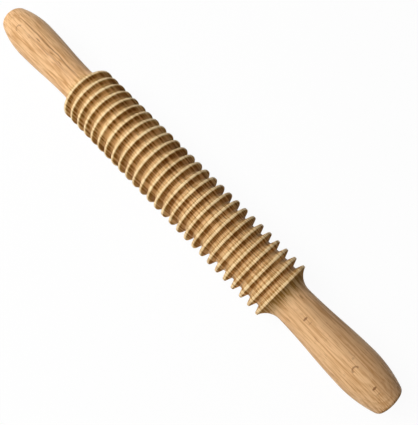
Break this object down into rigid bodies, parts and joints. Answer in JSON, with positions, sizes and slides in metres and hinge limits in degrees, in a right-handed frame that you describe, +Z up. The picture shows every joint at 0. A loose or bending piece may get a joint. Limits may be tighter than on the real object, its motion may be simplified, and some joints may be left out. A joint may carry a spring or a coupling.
{
  "type": "rolling pin",
  "caption": "Ridged wooden rolling pin for cutting pasta strips: a barrel with round-crested ridges, coved into two swelling handles.",
  "frame": {"origin": "on the surface that the pin rests on, straight below the middle of its barrel", "axes": "+X along the pin's axis towards its right handle, +Z up from the surface it rests on"},
  "size_m": [0.331, 0.0382, 0.0382],
  "materials": {
    "barrel_wood": "bare turned beech, sanded, satin",
    "handle_wood": "bare turned beech, sanded smooth, satin"
  },
  "bodies": {
    "root": {"ridged_barrel": "barrel_wood", "left_handle": "handle_wood", "right_handle": "handle_wood"}
  },
  "joints": []
}
